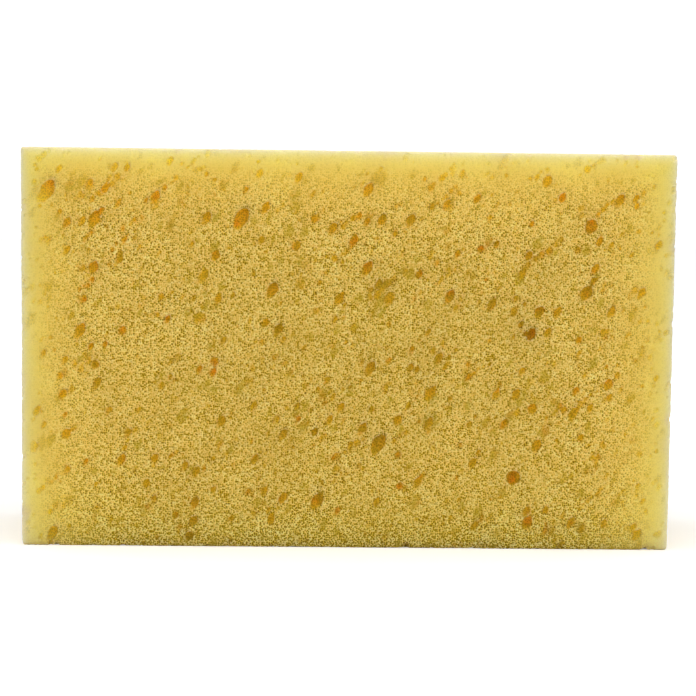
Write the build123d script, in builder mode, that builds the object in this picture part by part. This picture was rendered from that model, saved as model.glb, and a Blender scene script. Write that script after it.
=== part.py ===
from build123d import *
import math
import os
import random

# A decorator's sponge block of open-cell foam, standing on one long narrow side.
# Millimetres, +Z up, the broad front face towards -Y, origin at the middle of the underside.
LENGTH = 180.0  # along X
THICKNESS = 50.0  # along Y
HEIGHT = 110.0  # along Z
EDGE_RADIUS = 0.8  # the cut edges are square, with only the knife's slight softness

# Gas bubbles stretch along the direction in which the foam rose, so every open bubble leans alike.
RISE_LEAN_DEG = 62.0  # from the horizontal, leaning to the right on the front face
RISE_INTO_DEPTH = 0.25  # how far the same direction also slopes to the back
TIP_SHARE = 0.6  # radius of a bubble's rounded tips, as a share of its half width
UNDERCUT = 0.22  # a bubble's centre lies this share of its width below the cut face
SLIMMEST = 2.1  # length over width of the most drawn-out bubble

# Bubbles opened by the cut of the front face: across, up, and the opening's height and width.
FRONT_BUBBLES = [
    # Upper left
    (-82.7, 98.5, 6.6, 3.2),
    (-71.3, 100.2, 3.4, 2.2),
    (-77.4, 89.6, 3.4, 2.0),
    (-69.9, 90.7, 5.3, 2.8),
    (-53.3, 96.8, 4.4, 2.5),
    (-39.2, 91.3, 4.2, 2.6),
    (-43.1, 84.1, 2.6, 1.8),
    (-36.7, 81.0, 3.2, 2.5),
    (-29.5, 91.6, 6.8, 3.8),
    (-23.1, 94.3, 4.0, 2.3),
    (-24.2, 85.2, 2.8, 2.2),
    (-63.0, 79.7, 2.8, 2.2),
    (-70.2, 77.4, 3.8, 3.0),
    (-51.7, 69.4, 2.6, 2.0),
    (-35.9, 68.9, 3.4, 2.2),
    (-73.8, 60.0, 5.2, 3.0),
    (-62.2, 60.0, 2.8, 2.2),
    # Upper middle
    (-14.0, 102.6, 3.6, 2.4),
    (5.1, 99.6, 4.6, 2.8),
    (-9.6, 91.3, 2.6, 2.2),
    (-4.6, 88.8, 4.0, 2.4),
    (1.2, 85.5, 4.0, 2.4),
    (9.0, 91.3, 4.0, 2.3),
    (16.8, 91.3, 4.2, 2.2),
    (26.7, 95.7, 3.8, 2.5),
    (22.3, 100.2, 3.0, 1.9),
    (5.1, 78.0, 4.6, 2.4),
    (-20.9, 71.9, 5.0, 3.6),
    (-2.6, 69.4, 3.8, 2.8),
    (6.0, 71.6, 2.6, 1.8),
    (10.1, 73.3, 3.1, 2.2),
    (-19.3, 60.8, 4.4, 2.5),
    (-22.9, 62.5, 3.2, 2.4),
    # Upper right
    (35.0, 97.4, 3.4, 2.0),
    (38.4, 92.1, 2.6, 1.8),
    (54.2, 102.4, 3.6, 2.8),
    (74.4, 97.4, 4.2, 2.6),
    (66.6, 90.2, 4.2, 3.5),
    (36.1, 83.5, 2.6, 2.0),
    (29.8, 82.1, 2.6, 2.0),
    (63.0, 83.5, 2.8, 1.6),
    (72.2, 84.9, 2.8, 1.8),
    (68.0, 78.5, 3.8, 2.4),
    (47.8, 76.9, 3.4, 2.4),
    (65.8, 71.9, 4.6, 3.6),
    (81.0, 71.9, 3.8, 2.4),
    (39.5, 68.3, 4.0, 2.2),
    (46.1, 70.0, 2.4, 1.8),
    (52.8, 66.4, 3.8, 2.9),
    (57.8, 66.4, 3.6, 2.4),
    (72.7, 66.6, 4.0, 2.7),
    (55.3, 60.8, 3.4, 2.4),
    (63.8, 58.6, 2.6, 2.0),
    # Lower left
    (-78.0, 51.7, 2.6, 2.0),
    (-48.9, 51.4, 2.4, 1.7),
    (-69.7, 50.6, 2.8, 2.4),
    (-79.4, 47.2, 2.8, 2.1),
    (-37.3, 48.6, 3.2, 1.9),
    (-69.2, 45.4, 3.8, 2.6),
    (-78.5, 42.3, 3.4, 2.6),
    (-34.8, 35.3, 3.4, 2.6),
    (-77.7, 31.2, 3.4, 2.7),
    (-62.4, 24.2, 4.2, 2.4),
    (-53.3, 24.5, 3.8, 2.6),
    (-44.9, 22.6, 3.4, 2.1),
    (-41.9, 20.9, 3.9, 2.2),
    (-77.4, 21.2, 3.1, 1.8),
    (-55.5, 17.6, 2.9, 2.4),
    (-42.2, 12.2, 3.7, 2.7),
    (-47.5, 8.7, 2.4, 2.1),
    (-42.4, 7.2, 3.4, 2.7),
    (-43.6, 2.9, 2.9, 2.6),
    (-81.4, 3.7, 4.4, 2.2),
    # Lower middle
    (6.2, 50.3, 4.6, 3.0),
    (17.3, 50.6, 3.1, 2.2),
    (25.1, 53.3, 4.0, 2.7),
    (22.9, 43.4, 4.6, 2.9),
    (-4.0, 42.2, 2.9, 1.9),
    (-14.0, 39.5, 2.6, 1.9),
    (-25.9, 39.5, 3.1, 1.9),
    (-1.8, 39.3, 3.6, 2.0),
    (-4.9, 35.8, 3.4, 1.9),
    (6.8, 38.9, 2.2, 1.9),
    (14.0, 35.9, 3.4, 2.6),
    (22.6, 35.1, 4.0, 2.7),
    (4.3, 33.6, 4.2, 1.9),
    (-17.6, 31.7, 3.8, 2.6),
    (8.8, 29.5, 6.6, 4.6),
    (-25.6, 24.5, 3.4, 2.4),
    (19.8, 18.7, 4.0, 2.4),
    (14.8, 17.4, 2.8, 2.2),
    (-27.3, 15.3, 3.1, 2.1),
    (-22.9, 15.7, 3.4, 2.4),
    (-8.0, 13.3, 5.6, 3.2),
    (8.4, 12.9, 3.2, 2.3),
    (-2.4, 10.4, 2.6, 2.0),
    # Lower right
    (72.4, 46.4, 3.4, 2.6),
    (63.3, 44.4, 2.8, 2.1),
    (41.2, 43.4, 3.4, 2.2),
    (46.7, 43.4, 3.4, 2.5),
    (51.4, 39.5, 3.0, 2.5),
    (62.8, 38.2, 4.0, 2.2),
    (67.4, 39.7, 2.8, 2.1),
    (43.6, 35.1, 3.6, 2.6),
    (33.9, 34.8, 2.5, 2.0),
    (52.8, 29.2, 3.8, 2.9),
    (69.7, 25.6, 3.1, 1.7),
    (35.0, 24.0, 3.1, 2.4),
    (46.4, 20.1, 4.2, 3.9),
    (82.7, 13.7, 2.3, 1.7),
    (50.6, 7.4, 4.0, 3.1),
    (62.8, 7.6, 3.8, 2.3),
    (65.8, 5.8, 3.2, 2.1),
    (35.9, 6.4, 3.3, 2.4),
    (55.7, 4.9, 3.0, 1.9),
    (81.3, 4.2, 3.8, 2.2),
]

# The other five faces are cut through the same foam, so they show the same mix of bubbles.
SEED = 7
SPACING = 13.0  # one bubble to each square of this side, on average
JITTER = 0.36  # how far a bubble strays from the middle of its square, as a share of the square
SKIPPED = 0.25  # share of the squares left without a large bubble
LENGTHS = (2.6, 6.4)
ASPECTS = (1.4, 2.1)
EDGE_CLEARANCE = 5.0  # bubble centres stay this far from the block's edges
MOUNT_CLEARANCE = 9.0  # the middle of each face stays flat, as a place to rest or glue it

rise_angle = math.radians(RISE_LEAN_DEG)
RISE = Vector(math.cos(rise_angle), RISE_INTO_DEPTH, math.sin(rise_angle)).normalized()


def bubble(centre, length, width):
    """A closed egg-shaped bubble: a round middle that cones draw out to two smaller round tips."""
    middle_radius = width / 2
    tip_radius = TIP_SHARE * middle_radius
    tip_centre = length / 2 - tip_radius
    join_angle = math.acos((middle_radius - tip_radius) / tip_centre)

    def rim(along, radius, angle):
        return (along + radius * math.cos(angle), radius * math.sin(angle))

    tip_join = rim(tip_centre, tip_radius, join_angle)
    middle_join = rim(0, middle_radius, join_angle)
    crown = (0, middle_radius)
    with BuildPart() as egg:
        with BuildSketch(Plane(origin=centre, x_dir=RISE, z_dir=RISE.cross(Vector(0, 1, 0)))):
            with BuildLine():
                ThreePointArc((length / 2, 0), rim(tip_centre, tip_radius, join_angle / 2), tip_join)
                Line(tip_join, middle_join)
                RadiusArc(middle_join, crown, -middle_radius)
                mirror(about=Plane.YZ)
                Line((length / 2, 0), (-length / 2, 0))
            make_face()
        revolve(axis=Axis(centre, RISE))
    return egg.part


def leaning_axes(tall, wide):
    """Long and short axis of the leaning ellipse that is that tall and that wide."""
    total = tall**2 + wide**2
    difference = (tall**2 - wide**2) / -math.cos(2 * rise_angle)
    long_axis = math.sqrt((total + difference) / 2)
    short_axis = math.sqrt(max((total - difference) / 2, (long_axis / SLIMMEST) ** 2))
    return long_axis, short_axis


def front_bubbles():
    """The hand-placed bubbles of the front face, each as large as its opening asks for."""
    opening_share = math.sqrt(1 - (2 * UNDERCUT) ** 2)
    bubbles = []
    for across, up, tall, wide in FRONT_BUBBLES:
        long_axis, short_axis = leaning_axes(tall, wide)
        length = long_axis / opening_share
        width = short_axis / opening_share
        inward = UNDERCUT * width
        bubbles.append(bubble(Vector(across, inward - THICKNESS / 2, up), length, width))
    return bubbles


def scattered_bubbles(face, across_size, up_size, draw):
    """Bubbles on a face, given as a plane at its centre whose normal points outwards."""
    columns = round(across_size / SPACING)
    rows = round(up_size / SPACING)
    bubbles = []
    for column in range(columns):
        for row in range(rows):
            stray_across = draw.uniform(-JITTER, JITTER)
            stray_up = draw.uniform(-JITTER, JITTER)
            length = LENGTHS[0] + (LENGTHS[1] - LENGTHS[0]) * draw.random() ** 2
            width = length / draw.uniform(*ASPECTS)
            skip = draw.random() < SKIPPED
            across = ((column + 0.5 + stray_across) / columns - 0.5) * across_size
            up = ((row + 0.5 + stray_up) / rows - 0.5) * up_size
            near_edge = (
                abs(across) > across_size / 2 - EDGE_CLEARANCE
                or abs(up) > up_size / 2 - EDGE_CLEARANCE
            )
            if skip or near_edge or math.hypot(across, up) < MOUNT_CLEARANCE:
                continue
            centre = face.from_local_coords(Vector(across, up, -UNDERCUT * width))
            bubbles.append(bubble(centre, length, width))
    return bubbles


def other_bubbles():
    """Bubbles of the back, top, underside and both ends, the same on every build."""
    draw = random.Random(SEED)
    middle = HEIGHT / 2
    back = Plane(origin=(0, THICKNESS / 2, middle), x_dir=(-1, 0, 0), z_dir=(0, 1, 0))
    top = Plane(origin=(0, 0, HEIGHT), x_dir=(1, 0, 0), z_dir=(0, 0, 1))
    under = Plane(origin=(0, 0, 0), x_dir=(-1, 0, 0), z_dir=(0, 0, -1))
    right = Plane(origin=(LENGTH / 2, 0, middle), x_dir=(0, 1, 0), z_dir=(1, 0, 0))
    left = Plane(origin=(-LENGTH / 2, 0, middle), x_dir=(0, -1, 0), z_dir=(-1, 0, 0))
    bubbles = scattered_bubbles(back, LENGTH, HEIGHT, draw)
    bubbles += scattered_bubbles(top, LENGTH, THICKNESS, draw)
    bubbles += scattered_bubbles(under, LENGTH, THICKNESS, draw)
    bubbles += scattered_bubbles(right, THICKNESS, HEIGHT, draw)
    bubbles += scattered_bubbles(left, THICKNESS, HEIGHT, draw)
    return bubbles


open_bubbles = front_bubbles() + other_bubbles()

with BuildPart() as sponge_block:
    with BuildSketch(Plane.XY):
        Rectangle(LENGTH, THICKNESS)
    extrude(amount=HEIGHT)
    fillet(sponge_block.edges(), radius=EDGE_RADIUS)
    add(open_bubbles, mode=Mode.SUBTRACT)
sponge_block.part.label = "sponge_block"

os.makedirs("parts", exist_ok=True)
export_step(sponge_block.part, "parts/sponge_block.step")
print("bubbles", len(open_bubbles), "volume", round(sponge_block.part.volume), "mm3")
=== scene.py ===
import math

import bpy
import numpy as np
import openvdb as vdb
from mathutils import Matrix, Vector


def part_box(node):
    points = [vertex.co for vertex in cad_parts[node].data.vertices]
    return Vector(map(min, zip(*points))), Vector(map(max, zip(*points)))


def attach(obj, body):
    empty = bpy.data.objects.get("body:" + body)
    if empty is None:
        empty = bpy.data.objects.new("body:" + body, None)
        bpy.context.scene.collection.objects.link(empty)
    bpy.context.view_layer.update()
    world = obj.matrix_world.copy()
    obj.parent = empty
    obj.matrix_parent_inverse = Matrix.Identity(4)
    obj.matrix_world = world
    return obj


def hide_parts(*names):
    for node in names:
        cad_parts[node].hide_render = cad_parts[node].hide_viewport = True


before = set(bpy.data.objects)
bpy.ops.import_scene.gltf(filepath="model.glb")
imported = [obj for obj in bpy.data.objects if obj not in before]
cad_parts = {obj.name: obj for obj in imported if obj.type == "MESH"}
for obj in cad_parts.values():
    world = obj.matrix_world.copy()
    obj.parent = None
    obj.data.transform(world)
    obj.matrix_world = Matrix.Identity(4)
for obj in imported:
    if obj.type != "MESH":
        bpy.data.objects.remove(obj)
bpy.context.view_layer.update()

MM = 0.001
NODE = "sponge_block"
LOW, HIGH = (np.array(corner, float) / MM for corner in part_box(NODE))
MIDDLE = (LOW + HIGH) / 2
HALF = (HIGH - LOW) / 2

# Foam geometry, in millimetres
VOXEL = 0.36
BAND = 5  # voxels each side of the surface that hold a true distance
MARGIN = 6  # empty voxels round the block
RISE = Vector((0.46, 0.25, 0.86)).normalized()  # the bubbles' long axis, as in the CAD
SEED = 11

# Open bubbles added to the CAD's: how many, from and to what length, how slim, share kept on the front
MEDIUM_BUBBLES = {"count": 330, "lengths": (2.4, 5.4), "aspects": (1.5, 2.2), "keep_front": 0.45}
SMALL_BUBBLES = {"count": 2100, "lengths": (1.6, 3.6), "aspects": (1.5, 2.4)}
TINY_BUBBLES = {"count": 4200, "lengths": (0.9, 1.7), "aspects": (1.1, 1.7)}
CHAINS = {"count": 90, "lengths": (1.3, 2.6)}
CHAIN_STEP = (0.75, 0.3, 0.6)
CHAIN_ASPECTS = (1.2, 1.9)
# Bubbles just under the skin, not cut: they only tint it, as painted shade of the hollows under it
VEILED_BUBBLES = {"count": 1300, "lengths": (2.2, 5.6), "aspects": (1.6, 2.4)}

# Tears on the front face's upright edges: side, height above the underside, length and width
NICKS = (
    (HIGH[0], 63.5, 2.8, 1.3),
    (HIGH[0], 20.5, 1.6, 0.9),
    (HIGH[0], 22.0, 1.0, 0.8),
    (LOW[0], 60.0, 3.4, 0.7),
    (LOW[0], 3.6, 1.5, 0.9),
    (LOW[0], 1.4, 1.2, 0.9),
)
NICK_DEPTHS = (0.0, 1.2, 2.4)

PIT_SIZE = 0.8
PIT_DEPTH = 0.2
PIT_STRETCH = 1.3  # a pit's length along the rise over its width
PIT_REACH = 1.4  # how far from the surface the pits are worked out
WAVE_SIZE = 9.0
WAVE_DEPTH = 0.12

# Foam colours
CELLS_PER_MM = 1.9
RIM_LIGHT_REACH = 9.0  # how far in from the top, left and right edges the painted rim light keeps the foam pale and even
FOOT_SHADING_REACH = 9.0  # how far up from the bottom edge the painted shade makes the cells darker
SHEET_GAP = 2.0  # between the six faces laid flat for the colours
SHEET = 2 * max(HALF[0] + 2 * HALF[1] + 1.5 * SHEET_GAP, 2 * HALF[2] + HALF[1] + 1.5 * SHEET_GAP)

# Cell colours; the dark one is painted shade inside the open cells
CELL_PALE = (0.70, 0.45, 0.045, 1)
CELL_HOLE_SHADE = (0.07, 0.02, 0.0, 1)
CELL_RING = (0.82, 0.53, 0.0, 1)
STRUT = (0.92, 0.66, 0.17, 1)
STRUT_BRIGHT = (1.0, 0.84, 0.30, 1)
# Painted rim light: even and pale colours standing in for light coming through the foam near the top, left
# and right edges
RIM_LIGHT_EVEN = (0.80, 0.58, 0.11, 1)
RIM_LIGHT_PALE = (0.68, 0.62, 0.38, 1)
# Bubble walls: the foam's own colour made deeper and more saturated, partly painted bounce light and shade
# inside the bubbles
WALL_GOLDEN = (0.80, 0.53, 0.022, 1)
WALL_ORANGE = (0.84, 0.38, 0.01, 1)
WALL_OLIVE = (0.58, 0.43, 0.016, 1)
# Bubble walls in the painted shade low down
WALL_IN_FOOT_SHADE = (0.42, 0.24, 0.02, 1)
# Bubble walls in the painted rim light
WALL_IN_RIM_LIGHT = (0.88, 0.58, 0.03, 1)
SLOW_TINT = (0.55, 0.36, 0.04, 1)

# Stage, in metres
FLOOR_SIZE = 12.0
WHITE = (1, 1, 1, 1)
FLOOR_COLOUR = (0.9, 0.9, 0.9, 1)
NEAR_FLOOR = (0.14, 0.3)  # distance from the block's middle, and the floor's own light there
FAR_FLOOR = (0.6, 0.9)


# ---------------------------------------------------------------- foam geometry
def solid_distance():
    """Signed distance from the CAD block, its open bubbles included, and the first voxel's index."""
    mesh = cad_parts[NODE].data
    mesh.calc_loop_triangles()
    points = np.empty(len(mesh.vertices) * 3, np.float32)
    corners = np.empty(len(mesh.loop_triangles) * 3, np.int32)
    mesh.vertices.foreach_get("co", points)
    mesh.loop_triangles.foreach_get("vertices", corners)
    grid = vdb.FloatGrid.createLevelSetFromPolygons(
        points.reshape(-1, 3) / np.float32(MM * VOXEL),
        triangles=corners.reshape(-1, 3).astype(np.uint32),
        halfWidth=float(BAND),
    )
    first = np.floor(LOW / VOXEL).astype(int) - MARGIN
    last = np.ceil(HIGH / VOXEL).astype(int) + MARGIN
    distance = np.zeros(last - first + 1, np.float32)
    grid.copyToArray(distance, ijk=tuple(int(i) for i in first))
    return distance * np.float32(VOXEL), first


def carve(distance, first, centre, length, width, axis=RISE):
    """Raises the field to the depth inside a long round bubble: length along its axis, width across."""
    reach = length / 2 + 2 * VOXEL
    low = np.maximum(np.floor((centre - reach) / VOXEL).astype(int) - first, 0)
    high = np.minimum(np.ceil((centre + reach) / VOXEL).astype(int) - first + 1, distance.shape)
    if (low >= high).any():
        return
    steps = [(np.arange(low[i], high[i]) + first[i]) * VOXEL - centre[i] for i in range(3)]
    x, y, z = np.meshgrid(*steps, indexing="ij", sparse=True)
    along = x * axis[0] + y * axis[1] + z * axis[2]
    across_squared = x * x + y * y + z * z - along * along
    reach_share = np.sqrt((2 * along / length) ** 2 + across_squared * (2 / width) ** 2)
    region = distance[low[0]:high[0], low[1]:high[1], low[2]:high[2]]
    np.maximum(region, (1 - reach_share) * width / 2, out=region)


def surface_points(draw, count, depth):
    """Random points under the block's six faces, as many on each as its area asks for."""
    areas = [HALF[1] * HALF[2], HALF[0] * HALF[2], HALF[0] * HALF[1]]
    axis = draw.choice(3, count, p=np.array(areas) / sum(areas))
    side = draw.choice((-1.0, 1.0), count)
    points = draw.uniform(-1, 1, (count, 3)) * HALF
    points[np.arange(count), axis] = side * (HALF[axis] - depth)
    return points + MIDDLE


def scatter_bubbles(distance, first, draw, count, lengths, aspects, keep_front=1.0):
    """Opens bubbles at random places on the faces; keep_front thins them on the front face."""
    front_depth = 2.0
    length = lengths[0] + (lengths[1] - lengths[0]) * draw.random(count) ** 2
    width = length / draw.uniform(*aspects, count)
    centres = surface_points(draw, count, draw.uniform(-0.15, 0.4, count) * width)
    thin = draw.random(count)
    for index in range(count):
        if centres[index][1] < LOW[1] + front_depth and thin[index] > keep_front:
            continue
        carve(distance, first, centres[index], length[index], width[index])


def scatter_chains(distance, first, draw, count, lengths):
    """Opens short slanting rows of small bubbles, the way they gather along the rise."""
    stray = 0.35
    starts = surface_points(draw, count, 0.3)
    for start in starts:
        gap = HALF - np.abs(start - MIDDLE)
        face = gap.argmin()
        step = np.array(CHAIN_STEP) * draw.uniform(0.9, 1.5)
        step[face] = 0
        for place in range(draw.integers(3, 7)):
            length = draw.uniform(*lengths)
            centre = start + step * place * 1.6 + draw.uniform(-stray, stray, 3) * (np.arange(3) != face)
            carve(distance, first, centre, length, length / draw.uniform(*CHAIN_ASPECTS))


def nicks(distance, first):
    """Small tears on the two upright edges of the front face."""
    upright = Vector((0, 0, 1))
    for side, height, length, width in NICKS:
        for deep in NICK_DEPTHS:
            centre = np.array((side, LOW[1] + deep, LOW[2] + height + 0.2 * deep))
            carve(distance, first, centre, length, width, upright)


def keep_in_box(distance, first):
    """Trims anything the uneven surface pushed past the block's six flat faces."""
    for axis in range(3):
        place = (np.arange(distance.shape[axis]) + first[axis]) * VOXEL
        shape = [1, 1, 1]
        shape[axis] = -1
        outside = (np.abs(place - MIDDLE[axis]) - HALF[axis]).astype(np.float32)
        np.maximum(distance, outside.reshape(shape), out=distance)


def cell_pits(distance, first, draw):
    """Dents every face and bubble wall with close-set cells, stretched along the rise."""
    table = 64  # cells along each side before the pattern repeats
    raised = 0.35  # keeps the surface's mean place, since the pits only sink it
    jitter = draw.uniform(0.12, 0.88, (table, table, table, 3)).astype(np.float32)
    radius = draw.uniform(0.38, 0.56, (table, table, table)).astype(np.float32)
    near = np.flatnonzero(np.abs(distance.ravel()) < PIT_REACH)
    index = np.stack(np.unravel_index(near, distance.shape), 1)
    place = (index + first).astype(np.float32) * np.float32(VOXEL)
    turn = RISE.to_track_quat("Z", "Y").to_matrix().inverted()
    place = place @ np.array(turn, np.float32).T
    place /= np.array((PIT_SIZE, PIT_SIZE, PIT_SIZE * PIT_STRETCH), np.float32)
    base = np.floor(place - 0.5).astype(np.int32)
    pit = np.zeros(len(place), np.float32)
    for corner in np.ndindex(2, 2, 2):
        cell = base + np.array(corner, np.int32)
        slot = tuple((cell % table).T)
        away = place - cell - jitter[slot]
        squared = np.einsum("ij,ij->i", away, away)
        np.maximum(pit, 1 - squared / radius[slot] ** 2, out=pit)
    distance.ravel()[near] += np.float32(PIT_DEPTH) * (pit - raised)


def slow_waves(distance, draw):
    """Adds slow unevenness: random values on a coarse lattice, blended smoothly between."""
    extent = [int(n * VOXEL / WAVE_SIZE) + 3 for n in distance.shape]
    lattice = draw.uniform(-1, 1, extent).astype(np.float32)
    for axis in range(3):
        at = np.arange(distance.shape[axis]) * VOXEL / WAVE_SIZE
        cell = np.floor(at).astype(int)
        share = (at - cell).astype(np.float32)
        share = share * share * (3 - 2 * share)
        shape = [1, 1, 1]
        shape[axis] = -1
        share = share.reshape(shape)
        lattice = np.take(lattice, cell, axis) * (1 - share) + np.take(lattice, cell + 1, axis) * share
    distance += np.float32(WAVE_DEPTH) * lattice


def largest_shell(points, quads):
    """Drops closed voids inside the foam, which nobody sees: only the outer skin stays."""
    label = np.arange(len(points))
    edges = np.concatenate([quads[:, [0, 1]], quads[:, [1, 2]], quads[:, [2, 3]]])
    while True:
        low = np.minimum(label[edges[:, 0]], label[edges[:, 1]])
        before = label.copy()
        np.minimum.at(label, edges[:, 0], low)
        np.minimum.at(label, edges[:, 1], low)
        label = label[label]
        if (label == before).all():
            break
    kept = label == np.bincount(label).argmax()
    renumber = np.cumsum(kept) - 1
    return points[kept], renumber[quads[kept[quads[:, 0]]]]


def box_depth(points):
    """How far each point lies under the nearest uncut face."""
    return (HALF - np.abs(points - MIDDLE)).min(1)


def rim_light_mask(points):
    """Mask of the painted rim light: 1 at the block's top, left and right edges, falling to 0 well inside
    each face.
    """
    gap = HALF - np.abs(points - MIDDLE)
    gap[points[:, 2] < MIDDLE[2], 2] = HALF[2]
    return np.exp(-np.sort(gap, 1)[:, 1] / RIM_LIGHT_REACH)


def foot_shading_mask(points):
    """Mask of the painted shade low down: 1 at the underside, falling to 0 well above it."""
    return np.exp((LOW[2] - points[:, 2]) / FOOT_SHADING_REACH)


def foam_skin():
    """The foam's surface: points in millimetres, quads, and each point's depth in a veiled bubble."""
    draw = np.random.default_rng(SEED)
    distance, first = solid_distance()
    for bubbles in (MEDIUM_BUBBLES, SMALL_BUBBLES, TINY_BUBBLES):
        scatter_bubbles(distance, first, draw, **bubbles)
    scatter_chains(distance, first, draw, **CHAINS)
    nicks(distance, first)
    cell_pits(distance, first, draw)
    slow_waves(distance, draw)
    keep_in_box(distance, first)
    # Hidden bubbles, only for the painted shade they give the skin over them
    veiled = np.full(distance.shape, -1, np.float32)
    scatter_bubbles(veiled, first, draw, **VEILED_BUBBLES)
    grid = vdb.FloatGrid(background=float(distance.max()))
    grid.copyFromArray(distance)
    points, quads = grid.convertToQuads(isovalue=0.0)
    points, quads = largest_shell(points, quads[:, ::-1])
    veil = veiled[tuple(np.rint(points).astype(int).T)]
    return (points + first) * VOXEL, quads, veil


def foam_mesh():
    """The foam's skin as a mesh, with the measures and the flat layout that its colours use."""
    points, quads, veil = foam_skin()
    mesh = bpy.data.meshes.new("sponge_foam")
    mesh.vertices.add(len(points))
    mesh.loops.add(quads.size)
    mesh.polygons.add(len(quads))
    mesh.vertices.foreach_set("co", (points * MM).astype(np.float32).ravel())
    mesh.loops.foreach_set("vertex_index", quads.astype(np.int32).ravel())
    mesh.polygons.foreach_set("loop_start", np.arange(0, quads.size, 4, dtype=np.int32))
    mesh.update(calc_edges=True)
    mesh.validate()
    measures = {
        "depth": box_depth(points),
        "rim_light": rim_light_mask(points),
        "foot_shading": foot_shading_mask(points),
        "veil": veil,
    }
    for name, values in measures.items():
        mesh.attributes.new(name, "FLOAT", "POINT").data.foreach_set("value", values.astype(np.float32))
    mesh.shade_smooth()
    add_face_uvs(mesh, points, quads)
    return mesh


def add_face_uvs(mesh, points, quads):
    """Lays each of the six faces flat on one square sheet, all at the same scale."""
    centre = points[quads].mean(1) - MIDDLE
    gap = HALF - np.abs(centre)
    axis = gap.argmin(1)
    side = centre[np.arange(len(axis)), axis] > 0
    corner = points[quads] - LOW
    size = 2 * HALF
    across = size[0] + SHEET_GAP
    tall = size[2] + SHEET_GAP
    x, y, z = corner[..., 0], corner[..., 1], corner[..., 2]
    places = {
        (1, False): (x, z),
        (1, True): (x, z + tall),
        (2, False): (y + across, x),
        (2, True): (y + across + size[1] + SHEET_GAP, x),
        (0, False): (z, y + 2 * tall),
        (0, True): (z + tall, y + 2 * tall),
    }
    uv = np.zeros((len(quads), 4, 2), np.float32)
    for (which, high), (u, v) in places.items():
        mine = (axis == which) & (side == high)
        uv[mine, :, 0] = u[mine] / SHEET
        uv[mine, :, 1] = v[mine] / SHEET
    layer = mesh.uv_layers.new(name="OFBake")
    layer.data.foreach_set("uv", uv.ravel())


# ---------------------------------------------------------------- material
class Graph:
    """Short ways to add nodes to a material; values are sockets, or plain numbers and colours."""

    def __init__(self, material):
        material.use_nodes = True
        self.nodes = material.node_tree.nodes
        self.links = material.node_tree.links
        self.shader = self.nodes["Principled BSDF"]

    def feed(self, socket, value):
        if isinstance(value, bpy.types.NodeSocket):
            self.links.new(value, socket)
        else:
            socket.default_value = value

    def attribute(self, name):
        node = self.nodes.new("ShaderNodeAttribute")
        node.attribute_name = name
        return node.outputs["Fac"]

    def ranged(self, value, low, high, to_low=0.0, to_high=1.0):
        node = self.nodes.new("ShaderNodeMapRange")
        for name, number in zip(("From Min", "From Max", "To Min", "To Max"), (low, high, to_low, to_high)):
            node.inputs[name].default_value = number
        self.feed(node.inputs["Value"], value)
        return node.outputs["Result"]

    def mixed(self, share, first, second):
        node = self.nodes.new("ShaderNodeMix")
        node.data_type = "RGBA"
        share_input, first_input, second_input = (node.inputs[place] for place in (0, 6, 7))
        self.feed(share_input, share)
        self.feed(first_input, first)
        self.feed(second_input, second)
        return node.outputs[2]

    def arithmetic(self, operation, first, second):
        node = self.nodes.new("ShaderNodeMath")
        node.operation = operation
        self.feed(node.inputs[0], first)
        self.feed(node.inputs[1], second)
        return node.outputs["Value"]

    def scaled(self, colour, factor):
        node = self.nodes.new("ShaderNodeVectorMath")
        node.operation = "SCALE"
        self.feed(node.inputs[0], colour)
        self.feed(node.inputs["Scale"], factor)
        return node.outputs["Vector"]

    def along_rise(self):
        """Object coordinates in millimetres, stretched along the rise."""
        coordinates = self.nodes.new("ShaderNodeTexCoord")
        mapping = self.nodes.new("ShaderNodeMapping")
        mapping.vector_type = "TEXTURE"
        mapping.inputs["Rotation"].default_value = RISE.to_track_quat("Z", "Y").to_euler()
        mapping.inputs["Scale"].default_value = (MM, MM, 1.25 * MM)
        self.links.new(coordinates.outputs["Object"], mapping.inputs["Vector"])
        return mapping.outputs["Vector"]

    def noise(self, place, scale, detail):
        node = self.nodes.new("ShaderNodeTexNoise")
        node.inputs["Scale"].default_value = scale
        node.inputs["Detail"].default_value = detail
        self.links.new(place, node.inputs["Vector"])
        return node.outputs["Fac"]

    def cells(self):
        """Fine cells on the faces laid flat: distance from each cell's middle, and its random numbers."""
        sheet = self.nodes.new("ShaderNodeUVMap")
        sheet.uv_map = "OFBake"
        voronoi = self.nodes.new("ShaderNodeTexVoronoi")
        voronoi.voronoi_dimensions = "2D"
        voronoi.inputs["Scale"].default_value = SHEET * CELLS_PER_MM
        voronoi.inputs["Randomness"].default_value = 0.85
        self.links.new(sheet.outputs["UV"], voronoi.inputs["Vector"])
        lot = self.nodes.new("ShaderNodeSeparateColor")
        self.links.new(voronoi.outputs["Color"], lot.inputs["Color"])
        return voronoi.outputs["Distance"], lot.outputs

    def bump(self, height, strength, distance):
        node = self.nodes.new("ShaderNodeBump")
        node.inputs["Strength"].default_value = strength
        node.inputs["Distance"].default_value = distance
        self.links.new(height, node.inputs["Height"])
        self.links.new(node.outputs["Normal"], self.shader.inputs["Normal"])


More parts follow.
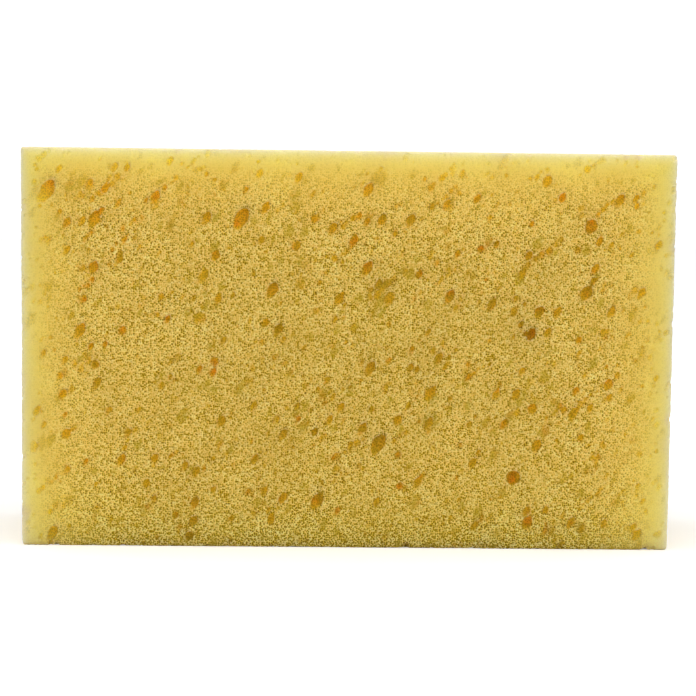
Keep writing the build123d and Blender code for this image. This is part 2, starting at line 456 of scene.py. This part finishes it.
def cut_face_colour(graph, place, distance, lot, foot_shading, rim_light):
    """Pale struts round cells darkened by painted shade, with golden rings, and how open each point's cell
    is; darker cells low down (painted shade), an even colour at the top, left and right edges (painted rim
    light).
    """
    clusters = graph.ranged(graph.noise(place, 0.5, 1.0), 0.5, 0.7, 0.0, 0.25)
    # Painted shade low down: near the underside more cells take the shaded hole colour
    darker = graph.arithmetic("ADD", lot["Red"], graph.arithmetic("MULTIPLY", foot_shading, 0.55))
    darker = graph.arithmetic("ADD", darker, clusters)
    shaded_hole = graph.mixed(graph.ranged(darker, 0.3, 1.0), CELL_PALE, CELL_HOLE_SHADE)
    reach = graph.arithmetic("MULTIPLY", distance, graph.ranged(lot["Blue"], 0.0, 1.0, 0.8, 1.35))
    opened = graph.ranged(reach, 0.56, 0.16)
    # Struts brighter near the underside, for the stronger contrast there
    brighter = graph.arithmetic("ADD", lot["Green"], graph.arithmetic("MULTIPLY", foot_shading, 0.3))
    strut = graph.mixed(graph.ranged(brighter, 0.45, 0.95), STRUT, STRUT_BRIGHT)
    ring = graph.arithmetic("MULTIPLY", graph.ranged(reach, 0.72, 0.42), graph.ranged(darker, 0.45, 0.9))
    strut = graph.mixed(ring, strut, CELL_RING)
    foam = graph.mixed(opened, strut, shaded_hole)
    # Painted rim light: the cells give way to an even colour near the top, left and right edges
    foam = graph.mixed(graph.ranged(rim_light, 0.05, 0.6, 0.0, 0.88), foam, RIM_LIGHT_EVEN)
    return foam, opened


def wall_colour(graph, place, opened, foot_shading, rim_light):
    """The inside of a bubble, its colour partly painted bounce light and shade: golden, orange or olive by
    slow patches, browner low down (painted shade), paler near the top, left and right edges (painted rim
    light).
    """
    orange_share = graph.ranged(graph.noise(place, 0.22, 2.0), 0.53, 0.7)
    wall = graph.mixed(orange_share, WALL_GOLDEN, WALL_ORANGE)
    olive_share = graph.ranged(graph.noise(place, 0.35, 1.0), 0.5, 0.65, 0.0, 0.6)
    wall = graph.mixed(olive_share, wall, WALL_OLIVE)
    # Painted shade: the walls turn browner low down
    wall = graph.mixed(graph.ranged(foot_shading, 0.0, 1.0, 0.0, 0.5), wall, WALL_IN_FOOT_SHADE)
    # Painted rim light: the walls paler near the top, left and right edges
    wall = graph.mixed(graph.ranged(rim_light, 0.1, 0.6, 0.0, 0.85), wall, WALL_IN_RIM_LIGHT)
    # Painted shade: walls darker where a cell is open
    return graph.scaled(wall, graph.ranged(opened, 0.0, 1.0, 1.07, 0.65))


def foam_material():
    """Cut foam with bubble walls where it is deep or thinly veiled (painted bounce light and shade), paler
    and more even at the top, left and right edges (painted rim light).
    """
    material = bpy.data.materials.new("foam")
    graph = Graph(material)
    for name, value in (
        ("Roughness", 0.9),
        ("Specular IOR Level", 0.06),
        ("Subsurface Weight", 0.6),
        ("Subsurface Radius", (1.0, 0.9, 0.45)),
        ("Subsurface Scale", 0.03),
    ):
        graph.shader.inputs[name].default_value = value

    place = graph.along_rise()
    distance, lot = graph.cells()
    foot_shading = graph.attribute("foot_shading")
    rim_light = graph.attribute("rim_light")
    foam, opened = cut_face_colour(graph, place, distance, lot, foot_shading, rim_light)
    wall = wall_colour(graph, place, opened, foot_shading, rim_light)

    ragged = graph.ranged(graph.noise(place, 0.9, 1.0), 0.3, 0.7, -0.5, 0.5)
    ragged = graph.arithmetic("MULTIPLY", ragged, 0.7)
    # Painted shade: over the hidden bubbles the skin takes the wall colour, darkened to 0.74
    veiled = graph.ranged(graph.arithmetic("ADD", graph.attribute("veil"), ragged), -0.2, 0.5, 0.0, 0.7)
    foam = graph.mixed(veiled, foam, graph.scaled(wall, 0.74))
    # Inside the bubbles the colour turns to the wall colour, with its painted bounce light and shade
    deep = graph.ranged(graph.arithmetic("ADD", graph.attribute("depth"), ragged), 0.2, 1.2, 0.0, 0.92)
    foam = graph.mixed(deep, foam, wall)

    foam = graph.mixed(graph.ranged(graph.noise(place, 0.07, 3.0), 0.35, 0.65, 0.0, 0.22), foam, SLOW_TINT)
    # Painted rim light: a pale cream right at the top, left and right edges
    rim_light_pale = graph.ranged(graph.arithmetic("POWER", rim_light, 3.5), 0.0, 1.0, 0.0, 0.68)
    foam = graph.mixed(rim_light_pale, foam, RIM_LIGHT_PALE)
    # Painted light: the colour is scaled up to 1.25 at the top, left and right edges and by up to 0.2 more
    # near the underside
    glow = graph.ranged(graph.arithmetic("POWER", rim_light, 0.55), 0.0, 1.0, 1.0, 1.25)
    glow = graph.arithmetic("ADD", glow, graph.arithmetic("MULTIPLY", foot_shading, 0.2))
    graph.feed(graph.shader.inputs["Base Color"], graph.scaled(foam, glow))
    graph.bump(distance, 0.7, 0.15 * MM)
    return material


# ---------------------------------------------------------------- stage
def floor_material():
    """Pale, with light of its own for the camera only, less near the block so that it keeps a soft shade."""
    material = bpy.data.materials.new("floor")
    graph = Graph(material)
    graph.shader.inputs["Base Color"].default_value = FLOOR_COLOUR
    graph.shader.inputs["Roughness"].default_value = 0.8
    graph.shader.inputs["Emission Color"].default_value = WHITE
    place = graph.nodes.new("ShaderNodeTexCoord")
    away = graph.nodes.new("ShaderNodeVectorMath")
    away.operation = "LENGTH"
    graph.links.new(place.outputs["Object"], away.inputs[0])
    (near, near_light), (far, far_light) = NEAR_FLOOR, FAR_FLOOR
    brightness = graph.ranged(away.outputs["Value"], near, far, near_light, far_light)
    path = graph.nodes.new("ShaderNodeLightPath")
    glow = graph.arithmetic("MULTIPLY", path.outputs["Is Camera Ray"], brightness)
    graph.links.new(glow, graph.shader.inputs["Emission Strength"])
    return material


def floor():
    """A wide flat floor under the block."""
    half = FLOOR_SIZE / 2
    mesh = bpy.data.meshes.new("floor")
    corners = [(-half, -half, 0), (half, -half, 0), (half, half, 0), (-half, half, 0)]
    mesh.from_pydata(corners, [], [(0, 1, 2, 3)])
    mesh.materials.append(floor_material())
    plane = bpy.data.objects.new("floor", mesh)
    plane.location.z = LOW[2] * MM
    bpy.context.scene.collection.objects.link(plane)


def area_light(name, place, size, power):
    """A rectangular light that looks at the block's middle."""
    data = bpy.data.lights.new(name, "AREA")
    data.shape = "RECTANGLE"
    data.size, data.size_y = size
    data.energy = power
    light = bpy.data.objects.new(name, data)
    light.location = place
    light.rotation_euler = (Vector(MIDDLE) * MM - Vector(place)).to_track_quat("-Z", "Y").to_euler()
    bpy.context.scene.collection.objects.link(light)


def lights():
    """Broad soft lights from above, both sides and the front."""
    area_light("top", place=(0, -0.05, 0.75), size=(1.0, 0.6), power=5.2)
    area_light("left", place=(-0.7, 0.12, 0.25), size=(0.5, 0.5), power=0.83)
    area_light("right", place=(0.7, 0.05, 0.25), size=(0.5, 0.5), power=0.83)
    area_light("front", place=(0, -1.1, 0.6), size=(1.2, 0.8), power=4.85)


def studio():
    """A dim even fill all round, which the camera itself sees as white."""
    fill, seen = 0.118, 1.1
    world = bpy.data.worlds.new("studio")
    world.use_nodes = True
    nodes, links = world.node_tree.nodes, world.node_tree.links
    background = nodes["Background"]
    background.inputs["Color"].default_value = WHITE
    path = nodes.new("ShaderNodeLightPath")
    strength = nodes.new("ShaderNodeMapRange")
    strength.inputs["To Min"].default_value = fill
    strength.inputs["To Max"].default_value = seen
    links.new(path.outputs["Is Camera Ray"], strength.inputs["Value"])
    links.new(strength.outputs["Result"], background.inputs["Strength"])
    bpy.context.scene.world = world
    bpy.context.scene.view_settings.view_transform = "Standard"


# ---------------------------------------------------------------- camera
def camera():
    """Looks at the front face a little from above and from the left, rolled a little."""
    distance = 0.450
    elevation = math.radians(4.5)
    azimuth = math.radians(-1.1)
    roll = math.radians(0.7)
    target = Vector((MIDDLE[0] - 0.05, LOW[1], MIDDLE[2] + 0.85)) * MM
    direction = Vector((
        math.sin(azimuth) * math.cos(elevation),
        -math.cos(azimuth) * math.cos(elevation),
        math.sin(elevation),
    ))
    data = bpy.data.cameras.new("camera")
    data.sensor_width = 36
    data.lens = 84.3
    view = bpy.data.objects.new("camera", data)
    look = (-direction).to_track_quat("-Z", "Y").to_matrix().to_4x4()
    place = Matrix.Translation(target + distance * direction)
    view.matrix_world = place @ look @ Matrix.Rotation(roll, 4, "Z")
    bpy.context.scene.collection.objects.link(view)
    bpy.context.scene.camera = view


# ---------------------------------------------------------------- piece
def sponge():
    """The whole sponge: one padded piece of foam in the CAD block's place."""
    mesh = foam_mesh()
    mesh.materials.append(foam_material())
    piece = bpy.data.objects.new("sponge_foam", mesh)
    bpy.context.scene.collection.objects.link(piece)
    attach(piece, "root")
    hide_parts(NODE)


camera()
sponge()
floor()
lights()
studio()
